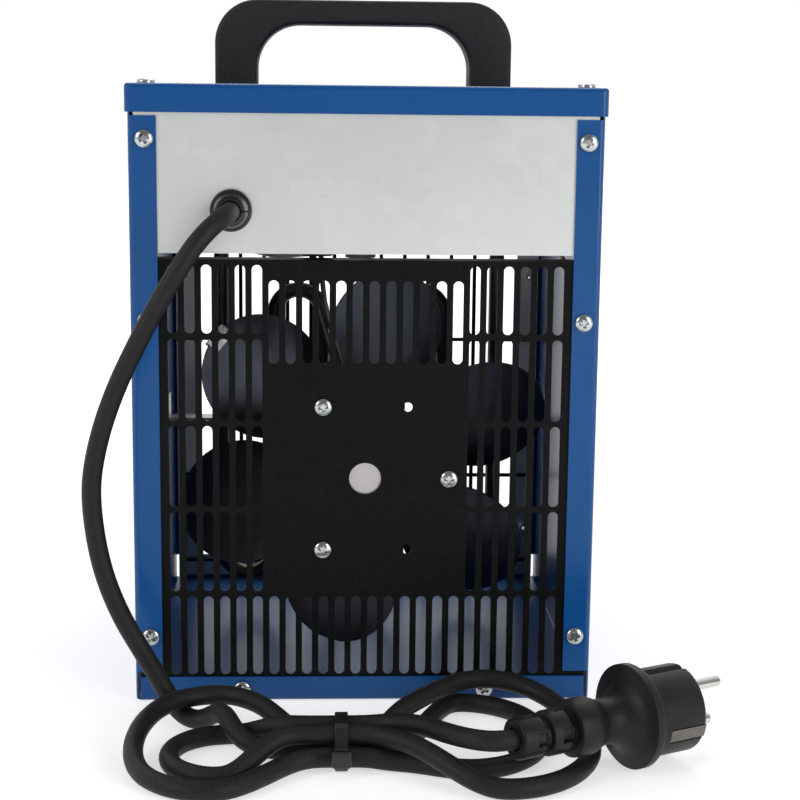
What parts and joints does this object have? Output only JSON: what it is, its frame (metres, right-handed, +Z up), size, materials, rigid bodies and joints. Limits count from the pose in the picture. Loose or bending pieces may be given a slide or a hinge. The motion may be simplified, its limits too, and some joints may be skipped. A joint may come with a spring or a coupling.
{
  "type": "electric fan heater",
  "caption": "Portable electric fan heater in a sheet steel box with a slotted rear grille, wire front guard, top handle, two control knobs and a tied mains lead with an earthed plug.",
  "frame": {"origin": "middle of the flat base, on the ground", "axes": "+Z up; warm air leaves along +Y, the front; the mains lead leaves the rear at -Y; +X is on the right of someone who looks at the rear"},
  "size_m": [0.2747, 0.3474, 0.3225],
  "materials": {
    "case_paint": "satin blue powder coat",
    "handle_plastic": "fine grained black plastic",
    "black_paint": "satin black",
    "galvanised": "galvanised sheet",
    "zinc_screw": "bright zinc plate",
    "motor_steel": "plated steel",
    "core_steel": "laminated steel",
    "shaft_steel": "ground steel",
    "copper": "copper",
    "bronze": "sintered bronze",
    "brass": "turned brass",
    "fan_aluminium": "rolled sheet",
    "element_tube": "dark oxidised steel",
    "cream_plastic": "moulded",
    "wire_white": "glass sleeve",
    "wire_brown": "insulation",
    "wire_black": "insulation",
    "knob_plastic": "moulded black",
    "lamp_lens": "clear amber",
    "cord_rubber": "matt",
    "plug_rubber": "matt",
    "pin_nickel": "nickel plate",
    "tie_nylon": "nylon"
  },
  "bodies": {
    "case": {"housing_wrap": "case_paint", "lid": "case_paint", "lid_screws": "zinc_screw", "handle": "handle_plastic", "handle_screws": "zinc_screw", "rear_grille": "black_paint", "control_tray": "galvanised", "rear_screws": "zinc_screw", "base_screws": "zinc_screw", "motor_screws": "zinc_screw", "motor_can": "motor_steel", "motor_end_bell": "motor_steel", "stator_core": "core_steel", "stator_windings": "copper", "rear_bearing": "bronze", "front_bearing": "bronze", "heating_element": "element_tube", "element_nuts": "brass", "element_studs": "shaft_steel", "element_rail": "motor_steel", "thermal_cutout": "cream_plastic", "cutout_wires": "wire_white", "guard_frame": "galvanised", "guard_wires": "black_paint", "control_panel": "black_paint", "front_screws": "zinc_screw", "selector_switch": "cream_plastic", "thermostat_body": "motor_steel", "capillary_bulb": "copper", "pilot_lamp_body": "knob_plastic", "pilot_lamp_lens": "lamp_lens", "terminal_block": "cream_plastic", "terminal_screws": "brass", "switch_wires": "wire_brown", "motor_wires": "wire_black", "wire_grommet": "cord_rubber", "earth_screw": "brass", "inner_lead": "cord_rubber", "cord_gland": "knob_plastic", "gland_lock": "knob_plastic", "cord_drop": "cord_rubber", "cord_hank": "cord_rubber", "cord_lead": "cord_rubber", "cable_tie": "tie_nylon", "plug_body": "plug_rubber", "plug_pins": "pin_nickel", "plug_earth_contacts": "pin_nickel"},
    "rotor": {"rotor_core": "core_steel", "motor_shaft": "shaft_steel", "fan_hub": "brass", "fan_blades": "fan_aluminium", "fan_nut": "brass", "balance_clip": "shaft_steel"},
    "selector": {"selector_spindle": "shaft_steel", "selector_knob": "knob_plastic"},
    "thermostat": {"thermostat_spindle": "shaft_steel", "thermostat_knob": "knob_plastic"}
  },
  "joints": [
    {"name": "fan_spin", "type": "hinge", "parent": "case", "child": "rotor", "pos_m": [0, 0, 0.105], "axis": [0, 1, 0], "continuous": true},
    {"name": "selector_turn", "type": "hinge", "parent": "case", "child": "selector", "pos_m": [-0.046, 0.1, 0.2425], "axis": [0, -1, 0], "range_deg": [0, 135]},
    {"name": "thermostat_turn", "type": "hinge", "parent": "case", "child": "thermostat", "pos_m": [0.046, 0.1, 0.2425], "axis": [0, -1, 0], "range_deg": [0, 270]}
  ]
}
